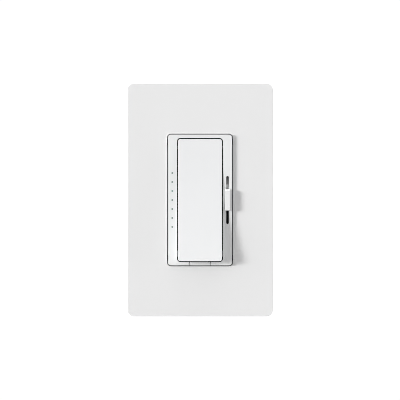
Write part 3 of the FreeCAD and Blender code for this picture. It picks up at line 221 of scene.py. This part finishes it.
def metal(name, dull, bright, rough, stretch=(1, 1, 1), grain=0.3, depth=0.003, stain=5.0):
    """Bare or plated metal: grain, brushed if it is stretched, and patches of duller plating."""
    edge_r, edge_wear = 0.12, 0.7        # millimetres, share
    material, tree, shader = new_material(name)
    tone = noise(tree, places(tree), stain, detail=6, rough=0.62)
    plating = two_tone(tree, tone, dull, bright, 0.34, 0.62)
    normal, edge = rounded(tree, edge_r)
    worn = calc(tree, "MULTIPLY", edge, edge_wear)
    streak = noise(tree, places(tree, stretch), grain, detail=4, rough=0.7)
    give(tree, shader, {
        "Metallic": 1.0,
        "Base Color": blended(tree, worn, plating, times(bright, 1.12)),
        "Roughness": span(tree, streak, rough * 0.75, rough * 1.3)})
    relief(tree, shader, [(streak, depth)], 0.4, normal)
    return material


def circuit_board(name, over_copper, bare):
    """Solder resist, paler where copper tracks lie under it."""
    track_gap, weave_gap, track_high, weave_high = 2.4, 0.5, 0.03, 0.01      # millimetres
    material, tree, shader = new_material(name)
    place = places(tree)
    tracks = cells(tree, place, track_gap, "DISTANCE_TO_EDGE")
    weave = noise(tree, place, weave_gap, detail=2)
    give(tree, shader, {
        "Base Color": two_tone(tree, tracks, over_copper, bare, 0.06, 0.10),
        "Roughness": span(tree, weave, 0.22, 0.36)})
    relief(tree, shader, [(span(tree, tracks, 1.0, 0.0, 0.06, 0.12), track_high),
                          (weave, weave_high)])
    return material


def yoke_metal_and_shade(name, bare, shade_half_x, shade_half_z, deep_shade_top):
    """Metal brushed along its length.

    Within the given half widths in x and z of the middle, behind the paddle, it is mottled grey
    painted shade for the dark gaps round the paddle, and below the given height near-black painted
    shade.
    """
    # grey and near-black painted shade
    shade_dark, shade_pale, deep_shade = (0.12, 0.12, 0.121), (0.16, 0.16, 0.16), (0.014, 0.014, 0.014)
    material = metal(name, *bare, 0.34, stretch=(30, 30, 1), grain=6.0, depth=0.01, stain=12)
    tree = material.node_tree
    shader = next(node for node in tree.nodes if node.type == "BSDF_PRINCIPLED")
    # a box round the middle where the bare metal gives way to painted shade
    inside = [calc(tree, "LESS_THAN", calc(tree, "ABSOLUTE", coordinate(tree, axis)), half)
              for axis, half in (("X", shade_half_x), ("Z", shade_half_z))]
    shaded = calc(tree, "MULTIPLY", *inside)
    shade_grey = two_tone(tree, noise(tree, places(tree), 2.0, detail=4), shade_dark, shade_pale)
    in_deep_shade = calc(tree, "LESS_THAN", coordinate(tree, "Z"), deep_shade_top)
    bare_colour = shader.inputs["Base Color"].links[0].from_socket
    give(tree, shader, {
        "Base Color": blended(tree, shaded, bare_colour, blended(tree, in_deep_shade, shade_grey, deep_shade)),
        "Metallic": calc(tree, "SUBTRACT", 1.0, shaded)})
    return material


def winding_enamel(name):
    """Enamelled copper wire, its colour deeper where the enamel lies thick."""
    material, tree, shader = new_material(name)
    thick = noise(tree, places(tree), 1.5, detail=3)
    give(tree, shader, {
        "Base Color": two_tone(tree, thick, (0.42, 0.14, 0.05), (0.72, 0.32, 0.13)),
        "Roughness": span(tree, thick, 0.14, 0.26),
        "Metallic": 0.9, "Coat Weight": 0.6, "Coat Roughness": 0.08})
    return material


def level_lens(name, dark, light, lit_height, lit_half):
    """Frosted light pipe.  The lamp behind the lens at lit_height is on, and dimly so."""
    cyan, glow = (0.05, 0.9, 0.75), 0.07
    material, tree, shader = new_material(name)
    frost = noise(tree, places(tree), 0.25, detail=3)
    off = calc(tree, "ABSOLUTE", calc(tree, "SUBTRACT", coordinate(tree, "Z"), lit_height))
    give(tree, shader, {
        "Base Color": two_tone(tree, frost, dark, light),
        "Roughness": span(tree, frost, 0.18, 0.32),
        "Emission Color": cyan,
        "Emission Strength": span(tree, off, glow, 0.0, lit_half * 0.6, lit_half)})
    relief(tree, shader, [(frost, 0.004)])
    return material


def shutter_grey(name, painted_light_from, darkest_shade_from):
    """Grey moulded strip: painted light pale above the knob, painted shade darker further up."""
    # pale is painted light; middle and dark are painted shade
    pale, middle, dark = [(grey,) * 3 for grey in (0.85, 0.32, 0.10)]
    material, tree, shader = new_material(name)
    grain = noise(tree, places(tree), 0.6, detail=4)
    ragged = calc(tree, "ADD", coordinate(tree, "Z"), calc(tree, "MULTIPLY", grain, 0.4 * MM))
    along = span(tree, ragged, 0.0, 1.0, painted_light_from, darkest_shade_from)
    give(tree, shader, {
        "Base Color": ramp(tree, along, [(0.0, pale), (0.30, pale), (0.42, middle), (1.0, dark)]),
        "Roughness": span(tree, grain, 0.4, 0.55)})
    relief(tree, shader, [(grain, 0.01)])
    return material


# dull and bright tones of each metal
ALUMINIUM = (0.66, 0.67, 0.68), (0.80, 0.81, 0.82)
ZINC = (0.60, 0.61, 0.62), (0.78, 0.78, 0.77)
STEEL = (0.42, 0.42, 0.43), (0.62, 0.62, 0.63)
BRASS = (0.52, 0.34, 0.13), (0.74, 0.53, 0.24)
COPPER = (0.62, 0.30, 0.18), (0.86, 0.52, 0.36)
GREEN_PLATE = (0.02, 0.16, 0.05), (0.04, 0.30, 0.10)
BLACK = (0.02, 0.02, 0.02)

# node: name, colour, roughness, how far the tone strays from the colour, and in millimetres the
# size of its mottling, the size of its grain and how deep the grain is
MOULDED = {
    "cover_plate": ("plate_white", (0.80, 0.80, 0.80), 0.34, 0.005, 24, 0.5, 0.003),
    "front_bezel": ("bezel_white", (0.80, 0.805, 0.805), 0.36, 0.005, 12, 0.4, 0.003),
    "service_tab": ("tab_white", (0.80, 0.805, 0.805), 0.36, 0.006, 8, 0.4, 0.003),
    "paddle": ("paddle_white", (0.812, 0.818, 0.824), 0.32, 0.005, 18, 0.45, 0.003),
    "fader_knob": ("knob_white", (0.81, 0.815, 0.815), 0.32, 0.006, 6, 0.3, 0.002),
    "cover_adapter": ("adapter_white", (0.70, 0.70, 0.68), 0.5, 0.02, 9, 0.3, 0.008),
    "fader_carriage": ("carriage_black", BLACK, 0.4, 0.1, 3, 0.2, 0.005),
    "tact_switch_body": ("switch_black", BLACK, 0.4, 0.1, 3, 0.2, 0.005),
    "board_header": ("header_black", BLACK, 0.4, 0.1, 3, 0.2, 0.005),
    "tact_plunger": ("plunger_ivory", (0.62, 0.60, 0.54), 0.4, 0.05, 3, 0.2, 0.005),
    "indicator_leds": ("led_resin", (0.72, 0.70, 0.58), 0.3, 0.05, 1, 0.1, 0.003),
    "control_chips": ("chip_resin", (0.03, 0.03, 0.032), 0.45, 0.15, 1.5, 0.1, 0.004),
    "power_transistors": ("transistor_resin", (0.03, 0.03, 0.03), 0.42, 0.15, 1.5, 0.1, 0.004),
    "fader_track": ("carbon_track", (0.05, 0.05, 0.055), 0.5, 0.15, 1, 0.1, 0.004),
    "insulator_sheet": ("mica_film", (0.66, 0.63, 0.52), 0.3, 0.08, 4, 0.2, 0.003),
    "choke_core": ("ferrite_grey", (0.09, 0.09, 0.10), 0.55, 0.2, 1.5, 0.2, 0.02),
    "film_capacitor": ("capacitor_yellow", (0.78, 0.50, 0.06), 0.35, 0.06, 2, 0.2, 0.004),
    "bulk_capacitor": ("can_sleeve", (0.02, 0.04, 0.09), 0.3, 0.1, 2, 0.2, 0.004),
    "surge_disc": ("disc_blue", (0.03, 0.11, 0.40), 0.4, 0.12, 2, 0.3, 0.02),
    "fuse_link": ("fuse_ceramic", (0.66, 0.61, 0.50), 0.4, 0.06, 2, 0.2, 0.004),
}

LENS_PITCH = 4.61 * MM   # between the seven lenses
PAINTED_LIGHT_LONG = 7.0 * MM      # from the knob's top to where the shutter's painted shade is darkest
SHADE_OVER = 1.2 * MM    # how far the yoke's painted shade reaches past the paddle, and its near-black painted shade over the board's foot
                         # board's foot

lens_low, lens_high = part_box("level_light_pipe")
third_lens = (lens_low.z + lens_high.z) / 2 + LENS_PITCH
knob_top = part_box("fader_knob")[1].z
paddle_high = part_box("paddle")[1]
board_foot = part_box("control_board")[0].z

looks = {node: moulded(*finish) for node, finish in MOULDED.items()}
looks |= {
    "level_light_pipe": level_lens("frosted_lens", (0.25, 0.31, 0.285), (0.32, 0.38, 0.355),
                                   third_lens, LENS_PITCH / 2),
    # the shutter carries painted light just above the knob and painted shade further up
    "fader_shutter": shutter_grey("shutter_grey", knob_top, knob_top + PAINTED_LIGHT_LONG),
    "back_housing": spark_eroded("housing_black", (0.022, 0.022, 0.024), 0.48),
    # the yoke carries painted shade behind the paddle and near-black painted shade below the board's
    # foot
    "mounting_yoke": yoke_metal_and_shade("yoke_aluminium", ALUMINIUM, paddle_high.x + SHADE_OVER,
                                paddle_high.z + SHADE_OVER, board_foot + SHADE_OVER),
    "paddle_hinge_pin": metal("pin_steel", *STEEL, 0.25, stretch=(1, 9, 9), grain=1.0),
    # the control board's resist is a dark grey chosen as painted shade for the dark seen through the
    # paddle's gaps
    "control_board": circuit_board("control_board_shade_grey", (0.165, 0.165, 0.162),
                                   (0.125, 0.126, 0.124)),
    "power_board": circuit_board("power_board_green", (0.03, 0.20, 0.07), (0.012, 0.10, 0.035)),
    "fader_wiper": metal("wiper_copper", *COPPER, 0.22),
    "air_gap_blade": metal("blade_copper", *COPPER, 0.22),
    "air_gap_post": metal("post_copper", *COPPER, 0.24),
    "air_gap_contact": metal("contact_copper", *COPPER, 0.24),
    "choke_winding": winding_enamel("winding_enamel"),
    "line_terminal": metal("line_brass", *BRASS, 0.3),
    "load_terminal": metal("load_brass", *BRASS, 0.3),
    "traveler_terminal": metal("traveler_brass", *BRASS, 0.3),
}
for name, material in looks.items():
    nodes[name].data.materials.clear()
    nodes[name].data.materials.append(material)

zinc = metal("zinc_plate", *ZINC, 0.24, grain=0.4)
brass = metal("screw_brass", *BRASS, 0.24, grain=0.4)
green = metal("green_plate", *GREEN_PLATE, 0.28, grain=0.4)
spring_steel = metal("spring_steel", *STEEL, 0.22, grain=0.5)


# ---------------------------------------------------------------- forms for screws and the spring

STEPS = 48               # points round a turned form
RINGS = 8                # rings in one turn of a thread
ACROSS = 9.0             # a groove this long, in millimetres, goes right across any head
PITCH = 0.79             # of a machine screw's thread, in millimetres
THREAD_DEEP = 0.36       # in millimetres


def loose_object(name, form):
    """A new object in the scene with a form's mesh.  The form is used up."""
    mesh = bpy.data.meshes.new(name)
    form.to_mesh(mesh)
    form.free()
    thing = bpy.data.objects.new(name, mesh)
    scene.collection.objects.link(thing)
    return thing


def carved(form, cutters):
    """The form less each cutter."""
    whole = loose_object("carved", form)
    tools = [loose_object("cutter", cutter) for cutter in cutters]
    for tool in tools:
        step = whole.modifiers.new("cut", "BOOLEAN")
        step.operation, step.solver, step.object = "DIFFERENCE", "EXACT", tool
    graph = bpy.context.evaluated_depsgraph_get()
    cut = bpy.data.meshes.new_from_object(whole.evaluated_get(graph))
    form = bmesh.new()
    form.from_mesh(cut)
    bpy.data.meshes.remove(cut)
    for thing in (whole, *tools):
        mesh = thing.data
        bpy.data.objects.remove(thing)
        bpy.data.meshes.remove(mesh)
    return form


def piece(name, forms, material, replaced, sharp=35):
    """One object made of several forms, on the dimmer's frame, in place of a CAD node.

    Edges that turn by more than sharp degrees stay sharp.
    """
    whole = bmesh.new()
    for form in forms:
        mesh = bpy.data.meshes.new(name)
        form.to_mesh(mesh)
        form.free()
        whole.from_mesh(mesh)
        bpy.data.meshes.remove(mesh)
    thing = loose_object(name, whole)
    thing.data.polygons.foreach_set("use_smooth", [True] * len(thing.data.polygons))
    thing.data.set_sharp_from_angle(angle=math.radians(sharp))
    thing.data.materials.append(material)
    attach(thing, "dimmer_frame")
    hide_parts(replaced)
    return thing


def skinned(rows, poles):
    """A closed surface over rows of points, fanned in to a pole at the first and the last row."""
    form = bmesh.new()
    rows = [[form.verts.new(point) for point in row] for row in rows]
    count = len(rows[0])
    for low, high in zip(rows, rows[1:]):
        for k in range(count):
            j = (k + 1) % count
            form.faces.new((low[k], low[j], high[j], high[k]))
    for row, pole in zip((rows[0], rows[-1]), poles):
        tip = form.verts.new(pole)
        for k in range(count):
            form.faces.new((row[k], row[(k + 1) % count], tip))
    bmesh.ops.recalc_face_normals(form, faces=form.faces)
    return form


def turned(rings):
    """A turned form along +Z through (height, radius) rings in millimetres.

    A radius is a number, or a function of the angle round the axis.
    """
    rows = []
    for height, radius in rings:
        row = []
        for k in range(STEPS):
            angle = math.tau * k / STEPS
            r = (radius(angle) if callable(radius) else radius) * MM
            row.append((r * math.cos(angle), r * math.sin(angle), height * MM))
        rows.append(row)
    return skinned(rows, [(0, 0, rings[0][0] * MM), (0, 0, rings[-1][0] * MM)])


def groove(long, wide, deep, turn=0.0, foot=0.75):
    """A cutter for one groove of a screw's drive, narrower at its floor by the share foot."""
    above = -2.0
    cos, sin = math.cos(math.radians(turn)), math.sin(math.radians(turn))
    rows = []
    for height, share in ((above, 1.0), (0.0, 1.0), (deep, foot)):
        x, y = long / 2 * share * MM, wide / 2 * share * MM
        rows.append([(a * cos - b * sin, a * sin + b * cos, height * MM)
                     for a, b in ((-x, -y), (x, -y), (x, y), (-x, y))])
    return skinned(rows, [(0, 0, above * MM), (0, 0, deep * MM)])


def thread(crest_r, root_r, pitch, start, end):
    """Rings of a screw thread that fades in at its start and out at its end."""
    root_flat, flank_wide = 0.12, 0.72   # shares of half a pitch

    def at(height):
        fade = max(0.0, min(1.0, (height - start) / pitch, (end - height) / pitch))

        def radius(angle):
            phase = (height / pitch - angle / math.tau) % 1.0
            flank = 1.0 - abs(2.0 * phase - 1.0)
            rise = min(1.0, max(0.0, (flank - root_flat) / flank_wide))
            return root_r + (crest_r - root_r) * fade * rise
        return radius
    count = max(2, round((end - start) / pitch * RINGS))
    heights = [start + (end - start) * k / count for k in range(count + 1)]
    return [(height, at(height)) for height in heights]


def dome(radius, rise, count=6):
    """Rings of a shallow domed head face, from near its middle out to its rim."""
    angles = [math.pi / 2 * k / count for k in range(1, count + 1)]
    return [(rise * (1 - math.cos(a)), radius * math.sin(a)) for a in angles]


def hexagon(flats):
    """A hexagon's radius round its axis."""
    return lambda angle: flats / math.cos(angle % (math.pi / 3) - math.pi / 6)


def pan_screw(head_r, head, crest_r, neck_r, pitch, start, long, cutters, rise=0.45):
    """A pan-headed screw: the head's face is at height 0 and the shank runs up.

    The neck is plain up to start, and the thread ends a little short of the tip.
    """
    ease, fillet = 0.15, 0.25
    rings = dome(head_r - 0.12, rise)
    rings += [(rise + ease, head_r), (head - ease, head_r), (head, head_r - 0.1)]
    rings += [(head, neck_r + fillet), (head + 0.2, neck_r), (start, neck_r)]
    rings += thread(crest_r, crest_r - THREAD_DEEP, pitch, start, long - 0.5)
    rings += [(long, crest_r - 0.7)]
    return carved(turned(rings), cutters)


AXES = {
    "+Y": Matrix.Rotation(-math.pi / 2, 4, "X"),
    "-Y": Matrix.Rotation(math.pi / 2, 4, "X"),
    "+X": Matrix.Rotation(math.pi / 2, 4, "Y"),
    "-X": Matrix.Rotation(-math.pi / 2, 4, "Y"),
    "+Z": Matrix.Identity(4),
}


def placed(form, point, axis):
    """The form with its head at a point, its shank along an axis."""
    form.transform(Matrix.Translation(point) @ AXES[axis])
    return form


# ---------------------------------------------------------------- screws

# the two long screws that hold the yoke to the wall box
low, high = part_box("box_screws")
reach, head_r = (high.y - low.y) / MM, (high.x - low.x) / 2 / MM
forms = []
for side in (1, -1):
    screw = pan_screw(head_r, head=1.5, crest_r=1.75, neck_r=1.5, pitch=PITCH, start=4.2,
                      long=reach, cutters=[groove(ACROSS, wide=0.9, deep=0.8)])
    forms.append(placed(screw, (0, low.y, side * (high.z - head_r * MM)), "+Y"))
piece("box_screws_threaded", forms, zinc, "box_screws")

# countersunk screws that hold the adapter
low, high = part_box("adapter_screws")
reach, head_r = (high.y - low.y) / MM, (high.x - low.x) / 2 / MM
rim, cone_end, neck_end, neck_r, crest_r = 0.25, 1.3, 1.6, 1.4, 1.72
forms = []
for side in (1, -1):
    rings = dome(head_r - 0.05, rise=0.12) + [(rim - 0.05, head_r - 0.05), (rim, head_r)]
    rings += [(cone_end, crest_r + 0.03), (neck_end, neck_r)]
    rings += thread(crest_r, neck_r, PITCH, neck_end, reach - 0.4) + [(reach, 1.1)]
    screw = carved(turned(rings), [groove(ACROSS, wide=0.8, deep=0.7)])
    forms.append(placed(screw, (0, low.y, side * (high.z - head_r * MM)), "+Y"))
piece("adapter_screws_threaded", forms, zinc, "adapter_screws")

# cross-recessed screws through the case from behind
low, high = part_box("case_screws")
reach, head_r = (high.y - low.y) / MM, 2.3
forms = []
for x in (low.x + head_r * MM, high.x - head_r * MM):
    for z in (low.z + head_r * MM, high.z - head_r * MM):
        cross = [groove(3.0, wide=0.6, deep=0.8, turn=turn, foot=0.55) for turn in (20.0, 110.0)]
        screw = pan_screw(head_r, head=1.4, crest_r=1.25, neck_r=0.95, pitch=1.1, start=1.9,
                          long=reach, cutters=cross)
        forms.append(placed(screw, (x, high.y, z), "-Y"))
piece("case_screws_domed", forms, zinc, "case_screws")

# side wiring screws, with a slot and a cross
for name, axis in (("line_screw", "-X"), ("load_screw", "+X"), ("traveler_screw", "+X")):
    low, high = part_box(name)
    reach, head_r = (high.x - low.x) / MM, (high.y - low.y) / 2 / MM
    slot_and_cross = [groove(ACROSS, wide=0.9, deep=0.8, foot=0.9),
                      groove(3.6, wide=0.9, deep=0.9, turn=90.0, foot=0.6)]
    screw = pan_screw(head_r, head=2.2, crest_r=2.05, neck_r=1.75, pitch=PITCH, start=2.6,
                      long=reach, cutters=slot_and_cross, rise=0.6)
    outer = high.x if axis == "-X" else low.x
    middle = (outer, (low.y + high.y) / 2, (low.z + high.z) / 2)
    piece(name + "_slotted", [placed(screw, middle, axis)], brass, name)

# green hexagonal grounding screw
low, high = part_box("ground_screw")
reach, flats = (high.z - low.z) / MM, (high.y - low.y) / 2 / MM
face, chamfer_end, side_end, head = 0.02, 0.42, 1.9, 2.2     # heights on the head
rings = [(0.0, flats - 0.45), (face, flats - 0.1), (chamfer_end, hexagon(flats)),
         (side_end, hexagon(flats)), (head, flats - 0.05), (head, 1.7)]
rings += thread(1.75, 1.4, PITCH, head, reach - 0.3) + [(reach, 1.2)]
screw = carved(turned(rings), [groove(ACROSS, wide=0.9, deep=0.8)])
middle = ((low.x + high.x) / 2, (low.y + high.y) / 2, low.z)
piece("ground_screw_hex", [placed(screw, middle, "+Z")], green, "ground_screw")


# ---------------------------------------------------------------- the spring behind the paddle

WIRE_R = 0.35
OPEN_RISE, CLOSED_RISE = 1.9, 0.72       # rise in one turn, and in the closed turn at each end
ROUND, PER_TURN = 12, 40                 # points round the wire, and along one turn

low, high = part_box("paddle_return_spring")
coil_r = (high.x - low.x) / 2 / MM - WIRE_R
open_turns = ((high.y - low.y) / MM - 2 * WIRE_R - 2 * CLOSED_RISE) / OPEN_RISE
turns = open_turns + 2


def rise_at(turn):
    """How far along the spring the wire is after some turns."""
    closed = min(turn, 1.0) + max(turn - (turns - 1.0), 0.0)
    return CLOSED_RISE * closed + OPEN_RISE * min(max(turn - 1.0, 0.0), open_turns)


rows, path = [], []
count = round(turns * PER_TURN)
for k in range(count + 1):
    turn = turns * k / count
    angle = math.tau * turn
    out = Vector((math.cos(angle), 0.0, math.sin(angle)))
    centre = out * coil_r * MM + Vector((0.0, rise_at(turn) * MM, 0.0))
    path.append(centre)
    rows.append([centre + (out * math.cos(a) + Vector((0, 1, 0)) * math.sin(a)) * WIRE_R * MM
                 for a in (math.tau * j / ROUND for j in range(ROUND))])
form = skinned(rows, [path[0], path[-1]])
start = ((low.x + high.x) / 2, low.y + WIRE_R * MM, (low.z + high.z) / 2)
form.transform(Matrix.Translation(start))
spring = piece("paddle_spring_coil", [form], spring_steel, "paddle_return_spring", 60)
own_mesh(spring)


# ---------------------------------------------------------------- room, floor, lamps, camera

scene.view_settings.view_transform = "Standard"
scene.cycles.filter_width = 0.75

# the room's light on the object: dim straight ahead of it, bright at the sides, more from above
FROM_FRONT, FROM_SIDES, FROM_TOP = 0.10, 0.86, 0.30
# how bright the camera sees the room: behind the object as in the photo, and everywhere else.  One
# turns into the other between these two shares of a direction along +Y
BACKDROP, WALLS, WALLS_END, BACKDROP_START = 1.05, 0.72, 0.90, 0.985

world = bpy.data.worlds.new("studio")
scene.world = world
world.use_nodes = True
tree = world.node_tree
tree.nodes.clear()
direction = put(tree, "SeparateXYZ", Vector=put(tree, "TexCoord").outputs["Generated"])
ahead = calc(tree, "MULTIPLY", direction.outputs["Y"], direction.outputs["Y"])
sides = calc(tree, "MULTIPLY", calc(tree, "SUBTRACT", 1.0, ahead), FROM_SIDES)
top = calc(tree, "MULTIPLY", direction.outputs["Z"], FROM_TOP)
ambient = calc(tree, "ADD", calc(tree, "ADD", sides, FROM_FRONT), top)
seen = span(tree, direction.outputs["Y"], WALLS, BACKDROP, WALLS_END, BACKDROP_START)
mix = put(tree, "MixShader", Fac=put(tree, "LightPath").outputs["Is Camera Ray"])
for number, strength in ((1, ambient), (2, seen)):
    background = put(tree, "Background", Color=WHITE, Strength=strength)
    give(tree, mix, {number: background.outputs["Background"]})
put(tree, "OutputWorld", Surface=mix.outputs["Shader"])

# a wide pale floor.  It throws no light up at the object: the room's light from below stands for
# that
FLOOR_Z, FLOOR_HALF = -0.75, 6.0
floor_paint, tree, shader = new_material("floor_pale")
grain = noise(tree, places(tree), 40.0)
give(tree, shader, {"Base Color": two_tone(tree, grain, (0.53, 0.53, 0.53), (0.54, 0.54, 0.54)),
                    "Roughness": 0.8})
form = bmesh.new()
corners = [(-1, -1), (1, -1), (1, 1), (-1, 1)]
form.faces.new([form.verts.new((x * FLOOR_HALF, y * FLOOR_HALF, FLOOR_Z)) for x, y in corners])
floor = loose_object("floor", form)
floor.data.materials.append(floor_paint)
floor.visible_diffuse = floor.visible_glossy = floor.visible_shadow = False


def lamp(name, share, off_axis, around, soft, mirrored=True):
    """A distant lamp that gives a white surface square to the room, or to the wall, this share
    of its light.

    off_axis is the angle from the room's axis, around is the angle from +X towards +Z, and soft
    is how wide the lamp looks.  A lamp that isn't mirrored leaves no highlights.
    """
    off, turn = math.radians(off_axis), math.radians(around)
    towards = (math.sin(off) * math.cos(turn), -math.cos(off), math.sin(off) * math.sin(turn))
    data = bpy.data.lights.new(name, "SUN")
    data.energy = share * math.pi / abs(math.cos(off))
    data.angle = math.radians(soft)
    thing = bpy.data.objects.new(name, data)
    thing.rotation_mode = "QUATERNION"
    thing.rotation_quaternion = Vector(towards).to_track_quat("Z", "Y")
    thing.visible_glossy = mirrored
    scene.collection.objects.link(thing)


lamp("key", 0.38, off_axis=66.0, around=173.0, soft=12.0)
lamp("wide_left", 0.10, off_axis=75.0, around=170.0, soft=50.0)
lamp("above", 0.012, off_axis=84.0, around=90.0, soft=20.0)
lamp("right", 0.02, off_axis=86.5, around=0.0, soft=15.0, mirrored=False)
lamp("behind", 0.35, off_axis=140.0, around=150.0, soft=40.0)

VIEW_W = 0.2051          # width of the camera's view at the plate's face
CAMERA_AWAY = 1.2        # from the plate's face
camera_data = bpy.data.cameras.new("camera")
camera_data.lens = camera_data.sensor_width * CAMERA_AWAY / VIEW_W
camera_data.clip_start, camera_data.clip_end = 0.05, 50.0
camera = bpy.data.objects.new("camera", camera_data)
camera.location = (0.0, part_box("cover_plate")[0].y - CAMERA_AWAY, 0.0)
camera.rotation_euler = (math.pi / 2, 0.0, 0.0)
scene.collection.objects.link(camera)
scene.camera = camera
